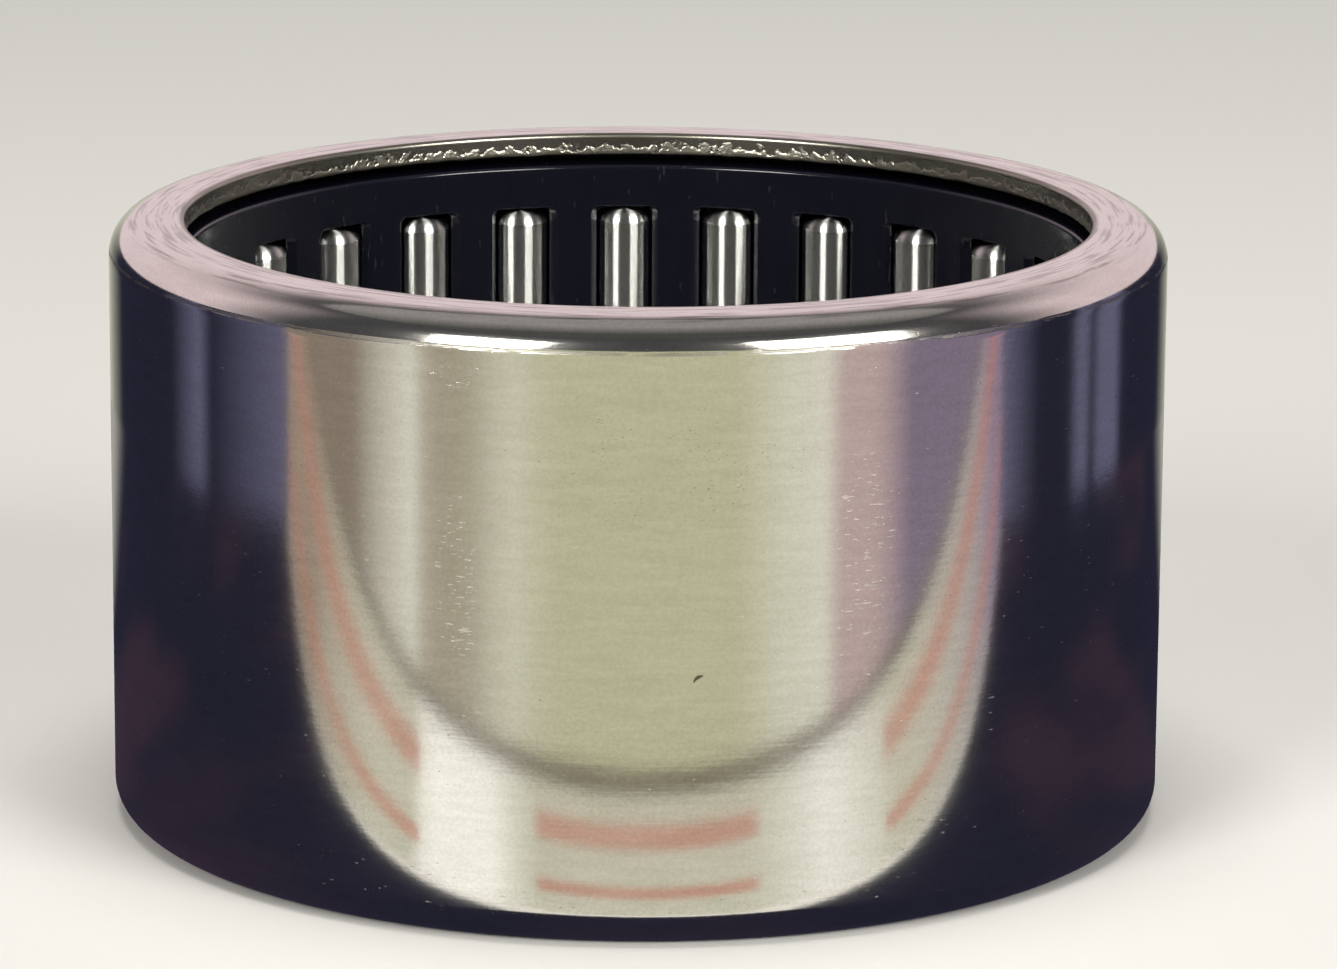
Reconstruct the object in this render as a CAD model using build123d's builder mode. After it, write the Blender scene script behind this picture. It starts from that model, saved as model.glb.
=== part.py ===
"""Drawn cup needle roller bearing, open at both ends, 35 x 42 x 24 mm.

A thin drawn steel cup with a turned-in lip at each end holds a moulded cage and 26 needle rollers.
The origin is the centre of the cup and +Z is the bearing's axis, pointing out of the rolled-over end.
The bearing stands on its drawn end, so the cage and the rollers have settled onto their lower stops.
"""
from build123d import *
import math
import os

os.makedirs("parts", exist_ok=True)

# Main sizes, millimetres
shaft_d = 35.0            # circle inside the rollers
roller_d = 2.5
roller_length = 17.8
roller_count = 26
outer_d = 42.0
width = 24.0

# Cup
raceway_clearance = 0.035
lip_bore_d = shaft_d + 1.0
lip_thickness = 1.0
drawn_corner_r = 1.3      # outer corner at the drawn end
rolled_corner_r = 1.45    # outer corner at the end that is rolled over after assembly
inner_corner_r = 0.35
lip_edge_r = 0.18

# Cage
cage_bore_d = 35.6
cage_outer_d = 39.6
end_gap = 0.06            # settled cage above the lower lip, and settled roller above its window's end
cage_top_gap = 0.34       # free play between the cage and the upper lip
cage_edge = 0.15
window_play = 0.26        # free play of a roller along its window
window_mouth = 2.8        # width where the window opens into the bore
window_throat = 2.36      # width at the retaining ledges, less than the roller's diameter
pocket_width = 2.62
window_corner_r = 0.35
ledge_r = 18.12           # distance of the retaining ledges from the axis
ledge_land = 0.08         # radial height of the straight ledge

# Rollers
roller_end_r = 0.5

# Worked-out sizes
half_width = width / 2
outer_r = outer_d / 2
raceway_r = shaft_d / 2 + roller_d + raceway_clearance
pitch_r = (shaft_d + roller_d) / 2
lip_bore_r = lip_bore_d / 2
inner_half = half_width - lip_thickness
cage_bottom = -inner_half + end_gap
cage_top = inner_half - cage_top_gap
cage_middle = (cage_bottom + cage_top) / 2
window_length = roller_length + window_play
window_bottom = cage_middle - window_length / 2
roller_bottom = window_bottom + end_gap
mouth_r = cage_bore_d / 2
cage_outer_r = cage_outer_d / 2
cut_depth = 1.0           # how far the window cutter runs past the cage's skins
funnel_slope = (window_mouth - window_throat) / (ledge_r - mouth_r)
funnel_width = window_mouth + funnel_slope * cut_depth    # at the cutter's inner end


# Outer cup: half of its wall section, turned about the axis
with BuildPart() as outer_cup:
    with BuildSketch(Plane.XZ) as cup_section:
        with BuildLine():
            Polyline(
                (lip_bore_r, -half_width),
                (outer_r, -half_width),
                (outer_r, half_width),
                (lip_bore_r, half_width),
                (lip_bore_r, inner_half),
                (raceway_r, inner_half),
                (raceway_r, -inner_half),
                (lip_bore_r, -inner_half),
                close=True,
            )
        make_face()
        drawn_corner = cup_section.vertices().group_by(Axis.X)[-1].sort_by(Axis.Y)[0]
        fillet(drawn_corner, radius=drawn_corner_r)
        rolled_corner = cup_section.vertices().group_by(Axis.X)[-1].sort_by(Axis.Y)[-1]
        fillet(rolled_corner, radius=rolled_corner_r)
        near_raceway = (raceway_r - 0.01, raceway_r + 0.01)
        raceway_corners = cup_section.vertices().filter_by_position(Axis.X, *near_raceway)
        fillet(raceway_corners, radius=inner_corner_r)
        lip_edges = cup_section.vertices().group_by(Axis.X)[0]
        fillet(lip_edges, radius=lip_edge_r)
    revolve(axis=Axis.Z)

outer_cup.part.label = "outer_cup"
export_step(outer_cup.part, "parts/outer_cup.step")


# Window cutter: what one window takes out of the cage, worked outwards along +X. A funnel from the bore
# narrows to the retaining ledges, and behind them is the straight pocket that guides the roller.
window_plane = Plane(origin=(0, 0, cage_middle), x_dir=(0, 1, 0), z_dir=(1, 0, 0))

with BuildPart() as window_cutter:
    with BuildSketch(window_plane.offset(mouth_r - cut_depth)):
        RectangleRounded(funnel_width, window_length, window_corner_r)
    with BuildSketch(window_plane.offset(ledge_r)):
        RectangleRounded(window_throat, window_length, window_corner_r)
    loft(ruled=True)
    with BuildSketch(window_plane.offset(ledge_r)):
        RectangleRounded(window_throat, window_length, window_corner_r)
    extrude(amount=ledge_land)
    with BuildSketch(window_plane.offset(ledge_r + ledge_land)):
        RectangleRounded(pocket_width, window_length, window_corner_r)
    extrude(amount=cage_outer_r - ledge_r - ledge_land + cut_depth)


# Cage: a plain ring with a window for each roller
with BuildPart() as cage:
    with BuildSketch(Plane.XZ) as cage_section:
        with BuildLine():
            Polyline(
                (mouth_r, cage_bottom),
                (cage_outer_r, cage_bottom),
                (cage_outer_r, cage_top),
                (mouth_r, cage_top),
                close=True,
            )
        make_face()
        fillet(cage_section.vertices(), radius=cage_edge)
    revolve(axis=Axis.Z)
    with PolarLocations(0, roller_count, start_angle=90):
        add(window_cutter.part, mode=Mode.SUBTRACT)

cage.part.label = "cage"
export_step(cage.part, "parts/cage.step")


def needle_roller(angle):
    """One needle roller with rounded ends, standing in the window at this angle from +X."""
    place = Plane(
        origin=(pitch_r * math.cos(angle), pitch_r * math.sin(angle), roller_bottom),
        x_dir=(math.cos(angle), math.sin(angle), 0),
        z_dir=(0, 0, 1),
    )
    with BuildPart() as roller:
        with BuildSketch(place):
            Circle(roller_d / 2)
        extrude(amount=roller_length)
        fillet(roller.edges().filter_by(GeomType.CIRCLE), radius=roller_end_r)
    return roller.part


# Needle rollers: the first on +Y, the others following it anticlockwise seen from +Z
for number in range(1, roller_count + 1):
    roller_part = needle_roller(math.radians(90 + (number - 1) * 360 / roller_count))
    roller_part.label = f"needle_roller_{number:02d}"
    export_step(roller_part, f"parts/needle_roller_{number:02d}.step")
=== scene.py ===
"""A drawn cup needle roller bearing: bright steel cup, moulded black cage and polished needle rollers."""
import math

import bmesh
import bpy
import numpy as np
from mathutils import Matrix, Vector


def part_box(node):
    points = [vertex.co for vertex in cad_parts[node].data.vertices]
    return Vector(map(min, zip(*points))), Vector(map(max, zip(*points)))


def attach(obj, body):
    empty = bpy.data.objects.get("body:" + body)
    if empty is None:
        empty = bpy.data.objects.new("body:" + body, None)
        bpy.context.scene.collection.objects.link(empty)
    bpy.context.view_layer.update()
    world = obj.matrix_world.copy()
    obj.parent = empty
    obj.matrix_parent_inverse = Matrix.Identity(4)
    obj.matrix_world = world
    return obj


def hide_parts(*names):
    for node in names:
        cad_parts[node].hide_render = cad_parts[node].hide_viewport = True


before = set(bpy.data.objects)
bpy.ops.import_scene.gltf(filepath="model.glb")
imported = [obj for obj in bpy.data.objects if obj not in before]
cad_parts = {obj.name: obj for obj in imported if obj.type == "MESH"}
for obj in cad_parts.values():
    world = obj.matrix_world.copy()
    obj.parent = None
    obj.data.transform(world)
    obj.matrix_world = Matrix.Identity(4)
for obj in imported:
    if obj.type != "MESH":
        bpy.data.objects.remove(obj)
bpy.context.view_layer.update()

# ------------------------------------------------------------------------------------------------
# Outer cup. One deep-drawn cup of thin strip steel, hardened, ground outside and tumbled bright. Its
# lower lip is left by the drawing tool; its upper lip is rolled over once the cage is in, which leaves
# a larger, slightly uneven corner and a sheared edge round the bore.
# ------------------------------------------------------------------------------------------------
MM = 0.001
cup_low, cup_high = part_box("outer_cup")
cup_r = (cup_high.x - cup_low.x) / 2 / MM
cup_top = cup_high.z / MM
cup_bottom = cup_low.z / MM
lip_bore_r = cup_r - 3.0
lip_thickness = 1.0
raceway_r = cup_r - 0.965
drawn_corner_r = 1.3
rolled_corner_r = 1.45
raceway_corner_r = 0.35
lip_edge_r = 0.16
rag_height = 0.13
dip_depth = 0.035
cup_turns = 480


def rounded_outline(corners, run_step, arc_step):
    """A closed outline in (radius, height). Straight runs join the corners, and each corner is an arc of
    its own radius that touches both runs: an even turn of the spoke from the arc's centre. Runs are
    divided evenly, with one more point close to each end so that shading stays flat along the run."""
    place = np.array([c[:2] for c in corners], float)
    radius = np.array([c[2] for c in corners], float)
    ahead = np.roll(place, -1, axis=0) - place
    length = np.linalg.norm(ahead, axis=1)
    to_next = ahead / length[:, None]
    to_last = -np.roll(to_next, 1, axis=0)
    half = np.arccos(np.sum(to_next * to_last, axis=1)) / 2
    setback = radius / np.tan(half)
    middle = to_next + to_last
    centre = place + middle / np.linalg.norm(middle, axis=1)[:, None] * (radius / np.sin(half))[:, None]
    pieces = []
    for i in range(len(corners)):
        first = place[i] + to_last[i] * setback[i] - centre[i]
        last = place[i] + to_next[i] * setback[i] - centre[i]
        sweep = math.pi - 2 * half[i]
        share = np.linspace(0, 1, max(4, round(sweep * radius[i] / arc_step)) + 1)[:, None]
        spoke = (first * np.sin((1 - share) * sweep) + last * np.sin(share * sweep)) / math.sin(sweep)
        pieces.append(centre[i] + spoke)
        run = length[i] - setback[i] - setback[(i + 1) % len(corners)]
        close = min(0.04, run / 4)
        between = np.linspace(0, run, max(2, round(run / run_step)) + 1)[1:-1]
        along = np.concatenate(([close], between, [run - close]))
        pieces.append(place[i] + to_next[i] * (setback[i] + along)[:, None])
    return np.concatenate(pieces)


def turned(outline, turns):
    """An outline carried round the Z axis: point (i, j) is outline point j at the i-th of even turns."""
    angle = np.linspace(0, 2 * math.pi, turns, endpoint=False)[:, None]
    r, z = outline[None, :, 0], outline[None, :, 1]
    return np.stack([r * np.cos(angle), r * np.sin(angle), z + 0 * angle], axis=-1)


def ripple(angle, waves, seed):
    """A closed, uneven wave round a turned part: a sum of sines with whole numbers of waves per turn,
    random phases and heights that fall with the square root of the wave number. It stays within 1."""
    random = np.random.default_rng(seed)
    total = np.zeros_like(angle)
    weight = 0
    for n in waves:
        total += np.sin(n * angle + random.uniform(0, 2 * math.pi)) / math.sqrt(n)
        weight += 1 / math.sqrt(n)
    return total / weight


def grid_faces(rows, columns, close_rows, close_columns):
    """Quads between neighbours of a grid numbered row by row, with either direction closed on itself."""
    i = np.arange(rows if close_rows else rows - 1)[:, None]
    j = np.arange(columns if close_columns else columns - 1)[None, :]
    i2, j2 = (i + 1) % rows, (j + 1) % columns
    quads = [i * columns + j, i2 * columns + j, i2 * columns + j2, i * columns + j2]
    return np.stack(np.broadcast_arrays(*quads), axis=-1).reshape(-1, 4)


def smooth_piece(name, points_mm, faces):
    """A smooth-shaded object at the origin from points in millimetres and lists of faces, with doubled
    points merged and every face turned outwards."""
    mesh = bpy.data.meshes.new(name)
    mesh.from_pydata((points_mm.reshape(-1, 3) * MM).tolist(), [], faces)
    work = bmesh.new()
    work.from_mesh(mesh)
    bmesh.ops.remove_doubles(work, verts=work.verts, dist=2e-6)
    bmesh.ops.recalc_face_normals(work, faces=work.faces)
    if work.calc_volume(signed=True) < 0:
        bmesh.ops.reverse_faces(work, faces=work.faces)
    work.to_mesh(mesh)
    work.free()
    mesh.polygons.foreach_set("use_smooth", [True] * len(mesh.polygons))
    mesh.update()
    piece = bpy.data.objects.new(name, mesh)
    bpy.context.scene.collection.objects.link(piece)
    return piece


cup_outline = rounded_outline(
    [
        (lip_bore_r, cup_bottom, lip_edge_r),
        (cup_r, cup_bottom, drawn_corner_r),
        (cup_r, cup_top, rolled_corner_r),
        (lip_bore_r, cup_top, lip_edge_r),
        (lip_bore_r, cup_top - lip_thickness, lip_edge_r),
        (raceway_r, cup_top - lip_thickness, raceway_corner_r),
        (raceway_r, cup_bottom + lip_thickness, raceway_corner_r),
        (lip_bore_r, cup_bottom + lip_thickness, lip_edge_r),
    ],
    run_step=1.2,
    arc_step=0.12,
)
cup_points = turned(cup_outline, cup_turns)
cup_angle = np.linspace(0, 2 * math.pi, cup_turns, endpoint=False)[:, None]
section_r, section_z = cup_outline[None, :, 0], cup_outline[None, :, 1]

# The rolled lip: its sheared lower edge is a little ragged, and its face dips by hundredths of a
# millimetre.
lip_share = np.clip((raceway_r - 0.6 - section_r) / 1.4, 0, 1)
at_top = section_z > cup_top - lip_thickness - 0.01
sheared = lip_share**3 * at_top * np.clip((cup_top - 0.45 - section_z) / 0.5, 0, 1)
rag = 0.5 + 0.5 * ripple(cup_angle, range(37, 140, 6), seed=11)
cup_points[..., 2] += sheared * rag * rag_height
face_share = np.clip((cup_r - section_r) / 1.5, 0, 1) * (section_z > cup_top - 0.3)
dip = 0.5 + 0.5 * ripple(cup_angle, range(2, 11), seed=12)
cup_points[..., 2] -= face_share * dip * dip_depth

cup = smooth_piece("outer_cup_shell", cup_points, grid_faces(cup_turns, len(cup_outline), True, True))


class Level:
    """A socket of a material's nodes. Arithmetic on levels adds the Math nodes that work it out."""

    def __init__(self, finish, socket):
        self.finish = finish
        self.socket = socket

    def math(self, operation, *others):
        sockets = dict(enumerate((self, *others)))
        return self.finish.add("ShaderNodeMath", {"operation": operation}, sockets)

    def __add__(self, other):
        return self.math("ADD", other)

    __radd__ = __add__

    def __sub__(self, other):
        return self.math("SUBTRACT", other)

    def __rsub__(self, other):
        return (self * -1).math("ADD", other)

    def __mul__(self, other):
        return self.math("MULTIPLY", other)

    __rmul__ = __mul__

    def __truediv__(self, other):
        return self.math("DIVIDE", other)

    def __pow__(self, other):
        return self.math("POWER", other)


class Finish:
    """A material being built round one Principled shader."""

    def __init__(self, name, **constants):
        self.material = bpy.data.materials.new(name)
        self.material.use_nodes = True
        self.tree = self.material.node_tree
        self.tree.nodes.clear()
        self.shader = self.tree.nodes.new("ShaderNodeBsdfPrincipled")
        output = self.tree.nodes.new("ShaderNodeOutputMaterial")
        self.tree.links.new(self.shader.outputs[0], output.inputs["Surface"])
        for key, value in constants.items():
            self.shader.inputs[key.replace("_", " ").title().replace("Ior", "IOR")].default_value = value

    def add(self, kind, settings=None, sockets=None, out=0):
        """Adds a node: its settings first, then its sockets, each a value or a level to link."""
        node = self.tree.nodes.new(kind)
        for name, value in (settings or {}).items():
            setattr(node, name, value)
        self.feed(node, sockets or {})
        return Level(self, node.outputs[out])

    def feed(self, node, sockets):
        for key, value in sockets.items():
            if isinstance(value, Level):
                self.tree.links.new(value.socket, node.inputs[key])
            else:
                node.inputs[key].default_value = value

    def surface(self, **sockets):
        """Links what varies over the surface: base_color, roughness, metallic or normal."""
        self.feed(self.shader, {name.replace("_", " ").title(): value for name, value in sockets.items()})
        return self.material


def place(finish):
    """Object coordinates in millimetres, and from them the height and the distance from the Z axis."""
    metres = finish.add("ShaderNodeTexCoord", out="Object")
    vector = finish.add("ShaderNodeVectorMath", {"operation": "SCALE"}, {0: metres, "Scale": 1 / MM})
    parts = finish.add("ShaderNodeSeparateXYZ", sockets={0: vector})
    x, y, z = (Level(finish, parts.socket.node.outputs[i]) for i in range(3))
    return vector, x, y, z, (x * x + y * y) ** 0.5


def noise(finish, vector, size, stretch=(1, 1, 1), detail=2.0, rough=0.5, shift=(0, 0, 0)):
    """Soft noise with features about this many millimetres across, before the stretch of each axis."""
    scale = tuple(s / size for s in stretch)
    operation = {"operation": "MULTIPLY_ADD"}
    mapped = finish.add("ShaderNodeVectorMath", operation, {0: vector, 1: scale, 2: shift})
    sockets = {"Vector": mapped, "Scale": 1.0, "Detail": detail, "Roughness": rough}
    return finish.add("ShaderNodeTexNoise", {"noise_dimensions": "3D"}, sockets)


def ramp(finish, value, low, high):
    """0 below low, 1 above high, and a smooth step between them. With low above high it falls instead."""
    if low > high:
        return 1 - ramp(finish, value, high, low)
    sockets = {"Value": value, "From Min": low, "From Max": high}
    return finish.add("ShaderNodeMapRange", {"interpolation_type": "SMOOTHSTEP"}, sockets)


def blend_colours(finish, share, first, second):
    """The first colour where the share is 0, the second where it is 1, and a mix between them."""
    return finish.add("ShaderNodeMix", {"data_type": "RGBA"}, {0: share, 6: first, 7: second}, out=2)


def relief(finish, height, microns, normal=None):
    """A bump whose height of 1 stands for this many microns."""
    sockets = {"Height": height, "Distance": microns * 1e-6}
    if normal is not None:
        sockets["Normal"] = normal
    return finish.add("ShaderNodeBump", {}, sockets)


steel_colour = (0.62, 0.60, 0.55, 1)
worn_colour = (0.76, 0.74, 0.70, 1)
# Dark steel for the pits, the nick and the face's lines, and also the painted shade in the crease.
dark_steel_and_shade_colour = (0.10, 0.09, 0.07, 1)
# Painted shade for the lip's bore.
bore_shade_colour = (0.15, 0.14, 0.10, 1)
crease_height = cup_top - rolled_corner_r + 0.24
nick_x = 1.575
nick_z = -1.5
nick_half_length = 0.26
nick_half_width = 0.075


def patch(finish, x, z, angle, height, wide, tall):
    """A soft oval patch on the front of the wall, centred at this angle from -Y and this height."""
    across = (x - cup_r * math.sin(math.radians(angle))) / wide
    up = (z - height) / tall
    return ramp(finish, across * across + up * up, 1.0, 0.2)


def cup_finish():
    """Bright hardened steel. The wall has a fine orange peel, faint rolling lines, short scratches, a few
    pits, one nick and a groove under the rolled corner whose dark line is painted shade; the lip's face has
    broken streaks round it; the sheared bore edge is dull and torn, and the lip's bore is darkened with
    painted shade."""
    finish = Finish("cup_steel", metallic=1.0)
    vector, x, y, z, r = place(finish)
    front = ramp(finish, y, 0.0, -2.0)
    on_wall = ramp(finish, r, cup_r - 0.12, cup_r - 0.02)
    on_face = ramp(finish, z, cup_top - 0.25, cup_top - 0.1)
    on_bore = ramp(finish, r, lip_bore_r + 0.30, lip_bore_r + 0.12)

    mottle = noise(finish, vector, 3.5, detail=3)
    drawn_stretch = (0.45, 0.45, 3.0)
    drawn = noise(finish, vector, 1.0, stretch=drawn_stretch, detail=4, rough=0.65, shift=(4, 8, 2))
    peel = noise(finish, vector, 0.42, detail=2)
    torn = on_bore * ramp(finish, z + (peel - 0.5) * 1.2, cup_top - 0.50, cup_top - 0.72)
    grain = noise(finish, vector, 0.13, detail=2)
    rolled = noise(finish, vector, 1.0, stretch=(0.25, 0.25, 9.0), detail=2)
    round_the_face = finish.add("ShaderNodeCombineXYZ", sockets={0: x / r * 6, 1: y / r * 6, 2: r * 6})
    rings = noise(finish, round_the_face, 1.0, detail=3)

    ticks = noise(finish, vector, 1.0, stretch=(2.2, 2.2, 13.0), detail=2, shift=(3, 7, 1))
    specks = noise(finish, vector, 1.0, stretch=(6.0, 6.0, 13.0), detail=1, shift=(5, 2, 9))
    scuffed = patch(finish, x, z, angle=-20, height=9.6, wide=1.6, tall=0.7)
    scuffed = scuffed + patch(finish, x, z, angle=-20.5, height=2.0, wide=1.1, tall=4.5)
    scuffed = scuffed + patch(finish, x, z, angle=22, height=3.0, wide=1.6, tall=5.0)
    scuffed = (scuffed * front).math("MINIMUM", 1.0)
    scratched = ramp(finish, ticks + scuffed * 0.10, 0.71, 0.79) * on_wall
    pitted = patch(finish, x, z, angle=1, height=6.5, wide=7.0, tall=3.2) * front
    pits = ramp(finish, specks + pitted * 0.07, 0.76, 0.82) * on_wall

    along = (x - nick_x) * 0.82 + (z - nick_z) * 0.57
    beside = (z - nick_z) * 0.82 - (x - nick_x) * 0.57 + along * along * 1.2
    nick = ramp(finish, (along / nick_half_length) ** 2 + (beside / nick_half_width) ** 2, 1.0, 0.5) * front

    # A thin groove just above where the wall meets the rolled corner. Its bump and roughness are real, and
    # its dark line of colour is painted shade.
    crease_depth = noise(finish, vector, 1.0, stretch=(0.6, 0.6, 2.0), detail=3, shift=(9, 1, 4))
    crease_groove_and_shade = ramp(finish, (z - crease_height).math("ABSOLUTE"), 0.10, 0.03)
    crease_groove_and_shade = crease_groove_and_shade * ramp(finish, crease_depth, 0.34, 0.56) * front

    lines = ramp(finish, rings, 0.48, 0.66) * on_face
    shine = ramp(finish, drawn, 0.2, 0.8) * 0.6 + ramp(finish, grain, 0.3, 0.7) * 0.4
    colour = blend_colours(finish, shine, steel_colour, worn_colour)
    colour = blend_colours(finish, lines * 0.6, colour, dark_steel_and_shade_colour)
    # The pits and the nick are real dark marks; the crease's part is painted shade.
    marks_and_crease_shade = (pits * 0.45 + crease_groove_and_shade * 0.6 + nick).math("MINIMUM", 0.9)
    colour = blend_colours(finish, marks_and_crease_shade, colour, dark_steel_and_shade_colour)
    # The lip's bore is darkened with painted shade, a little more along its torn edge; its dullness is real
    # roughness.
    colour = blend_colours(finish, on_bore * 0.75 + torn * 0.1, colour, bore_shade_colour)

    roughness = 0.08 + mottle * 0.05 + scratched * 0.20 + on_face * 0.06
    roughness = roughness + on_bore * 0.16 + torn * 0.15 + crease_groove_and_shade * 0.2
    bump = relief(finish, peel, 1.0)
    bump = relief(finish, grain, 0.28, bump)
    bump = relief(finish, rolled, 0.5, bump)
    bump = relief(finish, rings * on_face, 5.0, bump)
    bump = relief(finish, scratched + pits + nick * 6, -1.5, bump)
    bump = relief(finish, crease_groove_and_shade, -5.0, bump)
    bump = relief(finish, peel * torn, 55.0, bump)
    return finish.surface(base_color=colour, roughness=roughness, normal=bump)


cup.data.materials.append(cup_finish())
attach(cup, "outer_cup")
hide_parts("outer_cup")

# ------------------------------------------------------------------------------------------------
# Cage. One ring of black glass-filled polyamide, injection moulded, with a window for each roller. Each
# window opens as a funnel on the bore side, narrows to two ledges that hold the roller in, and widens
# behind them into a straight pocket. It floats between the lips and turns with the rollers.
# ------------------------------------------------------------------------------------------------
cage_low, cage_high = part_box("cage")
cage_outer_r = (cage_high.x - cage_low.x) / 2 / MM
cage_bore_r = cage_outer_r - 2.0
cage_top = cage_high.z / MM
cage_bottom = cage_low.z / MM
cage_middle = (cage_top + cage_bottom) / 2
cage_half = (cage_top - cage_bottom) / 2
cage_edge_r = 0.15
window_count = sum(name.startswith("needle_roller_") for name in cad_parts)
window_half_length = 9.03
window_corner_r = 0.35
mouth_half = 1.40
throat_half = 1.18
pocket_half = 1.31
throat_depth = 0.32
ledge_depth = 0.40
rim_depth = 1.90
mouth_edge_r = 0.07
skirt_corner = 0.9


def loop_template(side, top, corner):
    """The order of points round a window, as shares: which corner centre a point belongs to, its
    direction from there on a round corner, and the same on a square one. It runs up the right side,
    over the top, down the left side and back along the bottom."""
    up = np.linspace(-1, 1, side, endpoint=False)
    over = np.linspace(1, -1, top, endpoint=False)
    turn = np.linspace(0, 1, corner, endpoint=False)
    bend = turn * math.pi / 2
    rows = []
    for quarter in range(4):
        along = up if quarter % 2 == 0 else -over
        cosine, sine = [(1, 0), (0, 1), (-1, 0), (0, -1)][quarter]
        one, none = np.ones_like(along), np.zeros_like(along)
        flat = np.stack([one, along, one, none, one, none])
        bent = np.stack([
            np.ones_like(turn), np.ones_like(turn), np.cos(bend), np.sin(bend),
            np.minimum(1, 2 - 2 * turn), np.minimum(1, 2 * turn),
        ])
        both = np.concatenate([flat, bent], axis=1).reshape(3, 2, -1)
        ahead, aside = both[:, 0], both[:, 1]
        rows.append(np.stack([ahead * cosine - aside * sine, ahead * sine + aside * cosine], axis=1))
    return np.concatenate(rows, axis=2)


def window_loops(template, rho, half_width, half_length, corner, square):
    """Loops of points round one window, one loop per entry: each lies on a cylinder of radius rho, and is
    a rectangle whose corners go from round to square. Result: (loops, points, 3) as radial, across, up."""
    centre, round_way, square_way = template
    rho, half_width, half_length, corner, square = (
        np.asarray(v, float)[:, None] for v in (rho, half_width, half_length, corner, square)
    )
    way = (1 - square)[:, None] * round_way[None] + square[:, None] * square_way[None]
    across = centre[0] * (half_width - corner) + way[:, 0] * corner
    up = centre[1] * (half_length - corner) + way[:, 1] * corner
    return np.stack([np.sqrt(rho**2 - across**2), across, up], axis=-1)


def window_section():
    """The cross-section of a bar, from its middle line on the bore, over the mouth's edge, down the
    funnel, past the ledge and through the pocket to its middle line outside. Each row is a loop:
    radius, half width, half length, corner radius and squareness."""
    half_pitch = math.sin(math.pi / window_count)
    skirt_half = cage_half - cage_edge_r - 0.05
    rows = []
    for share in (1, 0.7, 0.4, 0.2, 0.07):
        rows.append((
            cage_bore_r,
            mouth_half + mouth_edge_r + share * (cage_bore_r * half_pitch - mouth_half - mouth_edge_r),
            window_half_length + mouth_edge_r + share * (skirt_half - window_half_length - mouth_edge_r),
            window_corner_r + mouth_edge_r + share * (skirt_corner - window_corner_r - mouth_edge_r),
            share,
        ))
    slope = math.atan2(throat_depth, mouth_half - throat_half)
    for share in np.linspace(0, 1, 7):
        inward = mouth_edge_r * (1 - math.sin(share * math.pi / 2))
        turn = share * slope
        rows.append((
            cage_bore_r + mouth_edge_r * (1 - math.cos(turn)),
            mouth_half + mouth_edge_r * (1 - math.sin(turn) / math.sin(slope) * 0.9),
            window_half_length + inward,
            window_corner_r + inward,
            0,
        ))
    throat = [
        (throat_depth - 0.02, throat_half + 0.02), (throat_depth, throat_half),
        (throat_depth + 0.04, throat_half), (ledge_depth, throat_half + 0.01),
        (ledge_depth + 0.03, throat_half + 0.05),
    ]
    pocket = [
        (ledge_depth + 0.08, pocket_half - 0.02), (ledge_depth + 0.14, pocket_half), (1.0, pocket_half),
        (rim_depth - 0.05, pocket_half), (rim_depth, pocket_half),
    ]
    for depth, half in throat + pocket:
        rows.append((cage_bore_r + depth, half, window_half_length, window_corner_r, 0))
    edge = cage_outer_r - cage_bore_r - rim_depth
    outer_skirt_corner = skirt_corner * cage_outer_r / cage_bore_r
    for share in np.linspace(0.25, 1, 4):
        turn = share * math.pi / 2
        grow = edge * (1 - math.cos(turn))
        rows.append((
            cage_bore_r + rim_depth + edge * math.sin(turn),
            pocket_half + grow,
            window_half_length + grow,
            window_corner_r + grow,
            0,
        ))
    for share in (0.1, 0.4, 0.7, 1):
        rows.append((
            cage_outer_r,
            pocket_half + edge + share * (cage_outer_r * half_pitch - pocket_half - edge),
            window_half_length + edge + share * (skirt_half - window_half_length - edge),
            window_corner_r + edge + share * (outer_skirt_corner - window_corner_r - edge),
            share,
        ))
    return np.array(rows)


template = loop_template(side=14, top=6, corner=6)
bars = window_loops(template, *window_section().T)
loop_count, loop_points = bars.shape[:2]
window_angle = math.pi / 2 + np.arange(window_count)[:, None, None] * 2 * math.pi / window_count
radial, across, up = bars[..., 0], bars[..., 1], bars[..., 2]
bar_points = np.stack([
    radial * np.cos(window_angle) - across * np.sin(window_angle),
    radial * np.sin(window_angle) + across * np.cos(window_angle),
    cage_middle + up + 0 * window_angle,
], axis=-1)
bar_faces = grid_faces(loop_count, loop_points, False, True)
first_point = np.arange(window_count)[:, None, None] * loop_count * loop_points
bar_faces = (bar_faces[None] + first_point).reshape(-1, 4)

# The two end rings: the outline over the cage's end, carried through the angles of the loops' end points.
edge_points = bars[0][np.abs(bars[0][:, 2] - bars[0][:, 2].max()) < 1e-9]
end_angles = (window_angle[:, :, 0] + np.arctan2(edge_points[:, 1], edge_points[:, 0])[None]).ravel()
end_angles = np.unique(np.round(np.mod(end_angles, 2 * math.pi), 9))
skirt_half = cage_half - cage_edge_r - 0.05
end_outline = rounded_outline(
    [
        (cage_bore_r, 0, 0.01),
        (cage_bore_r, cage_half, cage_edge_r),
        (cage_outer_r, cage_half, cage_edge_r),
        (cage_outer_r, 0, 0.01),
    ],
    run_step=0.5,
    arc_step=0.03,
)
end_outline = end_outline[end_outline[:, 1] > skirt_half + 0.01]
end_outline = np.concatenate([[(cage_bore_r, skirt_half)], end_outline, [(cage_outer_r, skirt_half)]])
end_points = []
for side in (1, -1):
    r, z = end_outline[None, :, 0], cage_middle + side * end_outline[None, :, 1]
    ring = end_angles[:, None]
    end_points.append(np.stack([r * np.cos(ring), r * np.sin(ring), z + 0 * ring], axis=-1).reshape(-1, 3))
end_faces = grid_faces(len(end_angles), len(end_outline), True, False)
offset = len(bar_points.reshape(-1, 3))
cage_points = np.concatenate([bar_points.reshape(-1, 3), *end_points])
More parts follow.
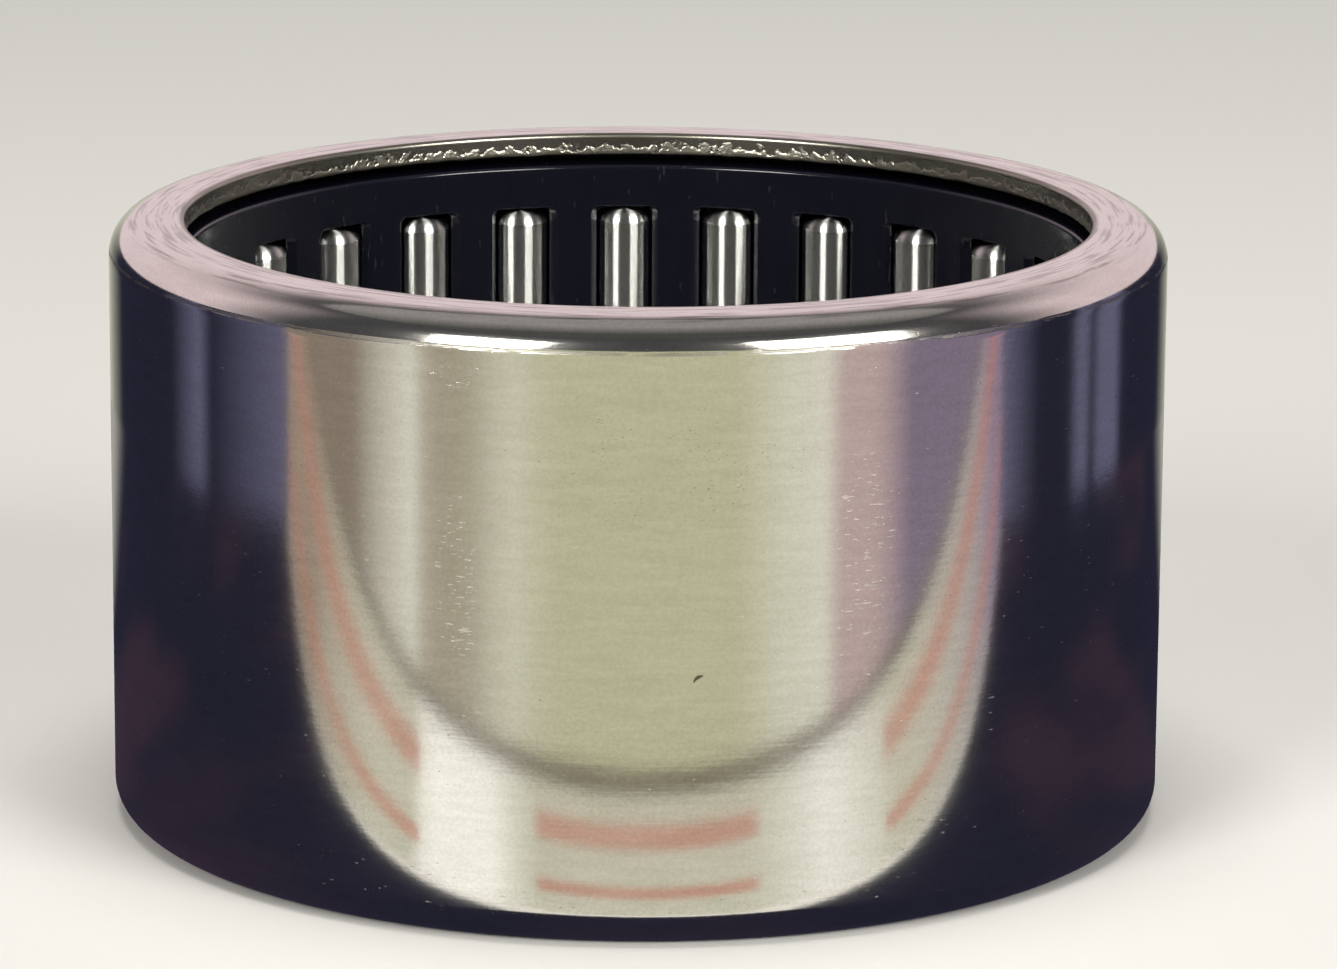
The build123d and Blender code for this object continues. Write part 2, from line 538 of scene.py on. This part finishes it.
cage_faces = np.concatenate([bar_faces, end_faces + offset, end_faces + offset + len(end_points[0])])
cage = smooth_piece("cage_moulding", cage_points, cage_faces)

cage_colour = (0.0030, 0.0032, 0.0065, 1)
cage_scuff_colour = (0.014, 0.015, 0.022, 1)


def cage_finish():
    """Semi-gloss black polyamide: a moulded skin with a soft grain, and faint rubbed streaks."""
    finish = Finish("cage_polymer", specular_ior_level=0.35)
    vector = place(finish)[0]
    skin = noise(finish, vector, 0.12, detail=2)
    cloud = noise(finish, vector, 2.2, detail=3)
    rubbed = noise(finish, vector, 1.0, stretch=(5.0, 5.0, 1.2), detail=2, shift=(2, 4, 6))
    streak = ramp(finish, rubbed, 0.66, 0.74)
    colour = blend_colours(finish, streak * 0.5, cage_colour, cage_scuff_colour)
    roughness = 0.13 + cloud * 0.09 + streak * 0.12
    return finish.surface(base_color=colour, roughness=roughness, normal=relief(finish, skin, 1.2))


cage.data.materials.append(cage_finish())
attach(cage, "cage")
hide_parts("cage")

# ------------------------------------------------------------------------------------------------
# Needle rollers. Through-hardened bearing steel, centreless ground and lapped, with rounded ends. The
# grinding runs round each roller, so a light draws out into a line along it.
# ------------------------------------------------------------------------------------------------
roller_turns = 72
roller_corner_r = 0.5
first_low, first_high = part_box("needle_roller_01")
roller_middle = (first_low.z + first_high.z) / 2 / MM
roller_side_half = (first_high.z - first_low.z) / 2 / MM - roller_corner_r
roller_dome = 0.03


def roller_section(radius, half_length):
    """Half of a roller's outline from the middle of its lower end to the middle of its upper end: a very
    low dome, the rounded corner and the straight side. The poles are the first and last points."""
    flat = radius - roller_corner_r
    dome_r = np.linspace(0, flat, 6)
    dome_z = half_length - roller_dome * (dome_r / flat) ** 2
    bend = np.linspace(0, math.pi / 2, 12)[1:]
    corner_r = flat + roller_corner_r * np.sin(bend)
    corner_z = half_length - roller_dome - roller_corner_r * (1 - np.cos(bend))
    side = corner_z[-1] * np.array([0.995, 0.8, 0.6, 0.4, 0.2])
    upper = np.stack([
        np.concatenate([dome_r, corner_r, np.full(5, radius)]),
        np.concatenate([dome_z, corner_z, side]),
    ], axis=1)
    lower = upper * (1, -1)
    return np.concatenate([lower, upper[::-1]])


def roller_finish():
    """Lapped bearing steel, with grinding marks round the roller finer than a hair."""
    finish = Finish("roller_steel", metallic=1.0, anisotropic=1.0, anisotropic_rotation=0.25)
    vector, _, _, z, _ = place(finish)
    lapped = noise(finish, vector, 1.0, stretch=(0.6, 0.6, 8.0), detail=2)
    stain = noise(finish, vector, 1.6, detail=3)
    from_middle = (z - roller_middle).math("ABSOLUTE")
    rounded = ramp(finish, from_middle, roller_side_half - 0.05, roller_side_half + 0.15)
    colour = blend_colours(finish, stain, (0.58, 0.585, 0.56, 1), (0.68, 0.68, 0.65, 1))
    return finish.surface(base_color=colour, roughness=0.215 + lapped * 0.02 + rounded * 0.12)


roller_material = roller_finish()
roller_names = sorted(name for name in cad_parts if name.startswith("needle_roller_"))
for name in roller_names:
    low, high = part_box(name)
    middle = (low + high) / 2 / MM
    section = roller_section((high.x - low.x) / 2 / MM, (high.z - low.z) / 2 / MM)
    points = turned(section[1:-1], roller_turns) + np.array(middle)
    poles = np.array([(middle.x, middle.y, middle.z + section[k, 1]) for k in (0, -1)])
    rows = len(section) - 2
    ring = np.arange(roller_turns) * rows
    after = np.roll(ring, -1)
    first_pole = np.full(roller_turns, roller_turns * rows)
    caps = np.concatenate([
        np.stack([first_pole, after, ring], axis=1),
        np.stack([first_pole + 1, ring + rows - 1, after + rows - 1], axis=1),
    ])
    quads = grid_faces(roller_turns, rows, True, False)
    all_points = np.concatenate([points.reshape(-1, 3), poles])
    roller = smooth_piece(name + "_ground", all_points, quads.tolist() + caps.tolist())
    roller.data.materials.append(roller_material)
    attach(roller, name)
    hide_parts(name)

# ------------------------------------------------------------------------------------------------
# Floor and studio. A plain pale floor, a dim even sky, two soft boxes in front and one above.
# Glowing boards and floor cards stand round the bearing, seen only in reflections, as a product
# photographer's cards are. All their sizes are in millimetres.
# ------------------------------------------------------------------------------------------------
floor_colour = (0.42, 0.415, 0.405, 1)
floor_height = cup_low.z / MM
board_half = 420.0
board_distance = 41.0
board_height = 28.0
card_front = 24.0
fan_depth = 11.0
ring_r = 80.0
ring_reach = 108
backdrop_r = 700.0
backdrop_foot = 30.0
backdrop_top = 950.0
backdrop_dim = (0.07, 0.07, 0.075, 1)
backdrop_pale = (0.86, 0.71, 0.75, 1)
navy = (0.02, 0.02, 0.04)
board_sage = (0.65, 0.65, 0.45)
board_pale = (0.80, 0.80, 0.65)
board_cream = (0.90, 0.90, 0.80)
board_tan = (0.50, 0.45, 0.35)
board_rose = (0.65, 0.50, 0.50)
board_brown = (0.30, 0.25, 0.20)
board_dusk = (0.25, 0.20, 0.30)
board_haze = (0.15, 0.15, 0.25)
card_white = (0.95, 0.95, 0.90)
card_pale = (0.85, 0.85, 0.80)
card_grey = (0.55, 0.55, 0.45)


def stage_sheet(name, points_mm, faces=None):
    """A stage object from its corners, one face in their order unless the faces are given."""
    mesh = bpy.data.meshes.new(name)
    corners = (np.array(points_mm, float) * MM).tolist()
    mesh.from_pydata(corners, [], faces or [tuple(range(len(corners)))])
    sheet = bpy.data.objects.new(name, mesh)
    bpy.context.scene.collection.objects.link(sheet)
    return sheet


def glowing(sheet, finish, colour):
    """Makes a stage sheet glow with this colour, and hides it from all but reflections."""
    sheet.data.materials.append(finish.surface(emission_color=colour))
    sheet.visible_camera = False
    sheet.visible_diffuse = False
    sheet.visible_shadow = False
    sheet.visible_transmission = False
    return sheet


def glow_finish(name, strength):
    """A dull black finish that only glows, at this strength."""
    black = (0, 0, 0, 1)
    return Finish(name, base_color=black, roughness=1.0, specular_ior_level=0.0, emission_strength=strength)


def bands(finish, value, stops):
    """Colours along a line. Each stop is a place and a colour, blended evenly between stops."""
    low, high = stops[0][0], stops[-1][0]
    level = finish.add("ShaderNodeValToRGB", sockets={0: (value - low) / (high - low)})
    elements = level.socket.node.color_ramp.elements
    for _ in stops[2:]:
        elements.new(0.5)
    for element, (spot, colour) in zip(elements, stops):
        element.position = (spot - low) / (high - low)
        element.color = (*colour, 1)
    return level


reach = 3000.0
floor = stage_sheet("studio_floor", [
    (-reach, -reach, floor_height), (reach, -reach, floor_height),
    (reach, reach, floor_height), (-reach, reach, floor_height),
])
floor_finish = Finish("studio_floor_paper", base_color=floor_colour, roughness=0.75, specular_ior_level=0.3)
floor.data.materials.append(floor_finish.material)


def front_board():
    """An upright board in front of the bearing, with soft upright bands and a dark foot."""
    finish = glow_finish("board_front", 1.0)
    vector, x, _, z, _ = place(finish)
    colour = bands(finish, x, [
        (-board_half, board_brown), (-60, board_brown), (-36, board_cream), (-32, board_tan),
        (-24, board_tan), (-17, board_pale), (-11, board_sage), (12, board_sage), (14, board_pale),
        (24, board_cream),
        (26, board_rose), (34, board_rose), (46, board_dusk), (board_half, board_dusk),
    ])
    streaks = noise(finish, vector, 1.0, stretch=(0.5, 0, 0.004), detail=3)
    streaked = (streaks - 0.42) * 0.45 * ramp(finish, x * x, 900, 2500)
    colour = blend_colours(finish, streaked, colour, (0.62, 0.52, 0.55, 1))
    foot = ramp(finish, z - floor_height, 1.4, 1.1)
    colour = blend_colours(finish, foot * 0.95, colour, (0.10, 0.07, 0.05, 1))
    low, high = floor_height + 0.2, floor_height + board_height
    corners = ((-board_half, low), (board_half, low), (board_half, high), (-board_half, high))
    sheet = stage_sheet("board_front", [(x, -board_distance, z) for x, z in corners])
    return glowing(sheet, finish, colour)


def front_card():
    """A pale card on the floor between the bearing and the front board, with two warm lines across it.
    Its bands fan out from the bearing, so that they meet the board's."""
    finish = glow_finish("card_front", 1.35)
    vector, x, y, _, _ = place(finish)
    depth = y * -1
    fan = x * (board_distance - fan_depth) / (depth - fan_depth)
    colour = bands(finish, fan, [
        (-board_half, board_brown), (-100, board_brown), (-48, card_grey), (-35, card_grey),
        (-32, card_white), (-20, card_white), (-14, card_grey), (12, card_grey), (24, card_pale),
        (40, card_grey), (140, board_dusk), (board_half, board_dusk),
    ])
    wide = ramp(finish, (depth - 34.8).math("ABSOLUTE"), 1.9, 1.4)
    thin = ramp(finish, (depth - 27.2).math("ABSOLUTE"), 0.9, 0.6)
    left_block = ramp(finish, (fan + 23.5).math("ABSOLUTE"), 9.5, 11.0)
    right_block = ramp(finish, (fan - 25.0).math("ABSOLUTE"), 11.0, 13.0)
    lines = (wide + thin) * left_block * right_block
    colour = blend_colours(finish, lines * 0.80, colour, (0.50, 0.20, 0.15, 1))
    cloud = noise(finish, vector, 9.0, detail=3)
    colour = blend_colours(finish, (cloud - 0.4) * 0.3, colour, (0.60, 0.58, 0.54, 1))
    rows = ((-board_half, -board_distance), (board_half, -board_distance))
    rows = rows + ((board_half, -card_front), (-board_half, -card_front))
    sheet = stage_sheet("card_front", [(x, y, floor_height + 0.3) for x, y in rows])
    return glowing(sheet, finish, colour)


def ground_card():
    """A card flat on the floor all round the bearing, cut off straight before the front card. It is dark
    at the sides and pale behind the bearing."""
    finish = glow_finish("card_ground", 1.0)
    vector, x, y, _, _ = place(finish)
    cloud = ramp(finish, noise(finish, vector, 30.0, detail=2), 0.45, 0.65)
    behind = ramp(finish, x.math("ARCTAN2", y).math("ABSOLUTE") * (180 / math.pi), 46, 30)
    colour = blend_colours(finish, cloud, (*navy, 1), (0.045, 0.030, 0.050, 1))
    colour = blend_colours(finish, behind, colour, (0.40, 0.39, 0.36, 1))
    angle = np.linspace(0, 2 * math.pi, 192, endpoint=False)
    rings = []
    for radius in (cup_r - 1.8, 260.0):
        x, y = radius * np.sin(angle), -radius * np.cos(angle)
        height = np.full_like(x, floor_height + 0.01)
        rings.append(np.stack([x, np.maximum(y, -card_front), height], axis=1))
    faces = grid_faces(2, len(angle), False, True).tolist()
    sheet = stage_sheet("card_ground", np.concatenate(rings), faces)
    return glowing(sheet, finish, colour)


def round_board():
    """An upright board curved round the sides and the back, with upright bands by angle. The angle is
    0 behind the bearing and grows towards -X."""
    finish = glow_finish("board_round", 1.0)
    _, x, y, _, _ = place(finish)
    angle = (x * -1).math("ARCTAN2", y) * (180 / math.pi)
    colour = bands(finish, angle, [
        (-ring_reach, board_haze), (-98, navy), (-88, navy), (-85, board_haze), (-82, board_haze),
        (-80, navy), (-77, board_haze), (-70, board_haze), (-67, navy), (-42, navy), (-24, card_grey),
        (24, card_grey),
        (42, navy), (72, navy), (82, board_haze), (86, navy), (ring_reach, board_haze),
    ])
    turn = np.radians(np.linspace(-ring_reach, ring_reach, 109))
    ground = np.full_like(turn, floor_height)
    foot = np.stack([-ring_r * np.sin(turn), ring_r * np.cos(turn), ground], axis=1)
    top = foot + (0, 0, board_height)
    faces = grid_faces(2, len(turn), False, False).tolist()
    sheet = stage_sheet("board_round", np.concatenate([foot, top]), faces)
    return glowing(sheet, finish, colour)


def backdrop_ring():
    """A distant round backdrop that the flat faces reflect: pale behind the bearing, dim in front."""
    finish = glow_finish("studio_backdrop", 1.0)
    _, _, y, z, _ = place(finish)
    share = ramp(finish, y, -150, 250) * ramp(finish, z, backdrop_top, 320)
    turn = np.linspace(0, 2 * math.pi, 96, endpoint=False)
    ground = np.full_like(turn, backdrop_foot)
    foot = np.stack([backdrop_r * np.sin(turn), -backdrop_r * np.cos(turn), ground], axis=1)
    top = foot + (0, 0, backdrop_top - backdrop_foot)
    faces = grid_faces(2, len(turn), False, True).tolist()
    sheet = stage_sheet("studio_backdrop", np.concatenate([foot, top]), faces)
    return glowing(sheet, finish, blend_colours(finish, share, backdrop_dim, backdrop_pale))


front_board()
front_card()
ground_card()
round_board()
backdrop_ring()

# The sky as the camera sees it is plain. As the steel sees it, it is dim in front and low down, and paler
# overhead and high up behind.
world = bpy.data.worlds.new("studio_sky")
world.use_nodes = True
sky_tree = world.node_tree
steel_sky = sky_tree.nodes["Background"]
steel_sky.inputs["Strength"].default_value = 1.0
direction = sky_tree.nodes.new("ShaderNodeTexCoord")
overhead = sky_tree.nodes.new("ShaderNodeVectorMath")
overhead.operation = "DOT_PRODUCT"
overhead.inputs[1].default_value = (0, 0.50, 0.85)
sky_tree.links.new(direction.outputs["Generated"], overhead.inputs[0])
shade = sky_tree.nodes.new("ShaderNodeValToRGB")
sky_stops = ((0.60, (0.085, 0.088, 0.082, 1)), (0.90, (0.36, 0.34, 0.34, 1)))
for element, (spot, colour) in zip(shade.color_ramp.elements, sky_stops):
    element.position = spot
    element.color = colour
sky_tree.links.new(overhead.outputs["Value"], shade.inputs[0])
sky_tree.links.new(shade.outputs[0], steel_sky.inputs["Color"])
seen_sky = sky_tree.nodes.new("ShaderNodeBackground")
seen_sky.inputs["Color"].default_value = (0.86, 0.86, 0.86, 1)
seen_sky.inputs["Strength"].default_value = 0.9
which_ray = sky_tree.nodes.new("ShaderNodeLightPath")
either_sky = sky_tree.nodes.new("ShaderNodeMixShader")
sky_tree.links.new(which_ray.outputs["Is Camera Ray"], either_sky.inputs[0])
sky_tree.links.new(steel_sky.outputs[0], either_sky.inputs[1])
sky_tree.links.new(seen_sky.outputs[0], either_sky.inputs[2])
sky_tree.links.new(either_sky.outputs[0], sky_tree.nodes["World Output"].inputs["Surface"])
bpy.context.scene.world = world


def soft_box(name, azimuth, elevation, distance, size, watts, colour=(1, 0.98, 0.94)):
    """A square area light that faces the bearing. Azimuth 0 is in front, at -Y, and grows towards +X."""
    light = bpy.data.lights.new(name, "AREA")
    light.shape = "RECTANGLE"
    light.size, light.size_y = size
    light.energy = watts
    light.color = colour
    lamp = bpy.data.objects.new(name, light)
    turn, rise = math.radians(azimuth), math.radians(elevation)
    level, up = math.cos(rise), math.sin(rise)
    lamp.location = Vector((math.sin(turn) * level, -math.cos(turn) * level, up)) * distance
    lamp.rotation_euler = (-lamp.location).to_track_quat("-Z", "Y").to_euler()
    bpy.context.scene.collection.objects.link(lamp)
    return lamp


soft_box("left_window", -35, 25, 0.60, (0.21, 0.22), 3.8)
soft_box("right_window", 41, 25, 0.60, (0.30, 0.22), 4.4)
soft_box("top_box", 0, 88, 0.60, (0.30, 0.30), 4.0).visible_glossy = False

# ------------------------------------------------------------------------------------------------
# Camera. A long lens a little above the bearing, looking down past the rim at the far rollers.
# ------------------------------------------------------------------------------------------------
camera_distance = 12.461 * cup_r * MM
camera_rise = math.radians(10.914)
camera_turn = math.radians(-1.92)
aim = Vector((0.06 * cup_r * MM, 0, 0.0452 * cup_r * MM))
roll = math.radians(0.4)
lens = bpy.data.cameras.new("studio_camera")
lens.sensor_width = 36.0
lens.lens = 177.207
lens.clip_start = 0.01
lens.clip_end = 20.0
camera = bpy.data.objects.new("studio_camera", lens)
eye_height = cup_high.z + camera_distance * math.sin(camera_rise)
eye = Vector((0, -camera_distance * math.cos(camera_rise), eye_height))
facing = (aim - eye).to_track_quat("-Z", "Y").to_matrix() @ Matrix.Rotation(roll, 3, "Z")
around = Matrix.Rotation(camera_turn, 3, "Z")
camera.matrix_world = Matrix.Translation(around @ eye) @ (around @ facing).to_4x4()
bpy.context.scene.collection.objects.link(camera)
bpy.context.scene.camera = camera
bpy.context.scene.view_settings.view_transform = "Standard"
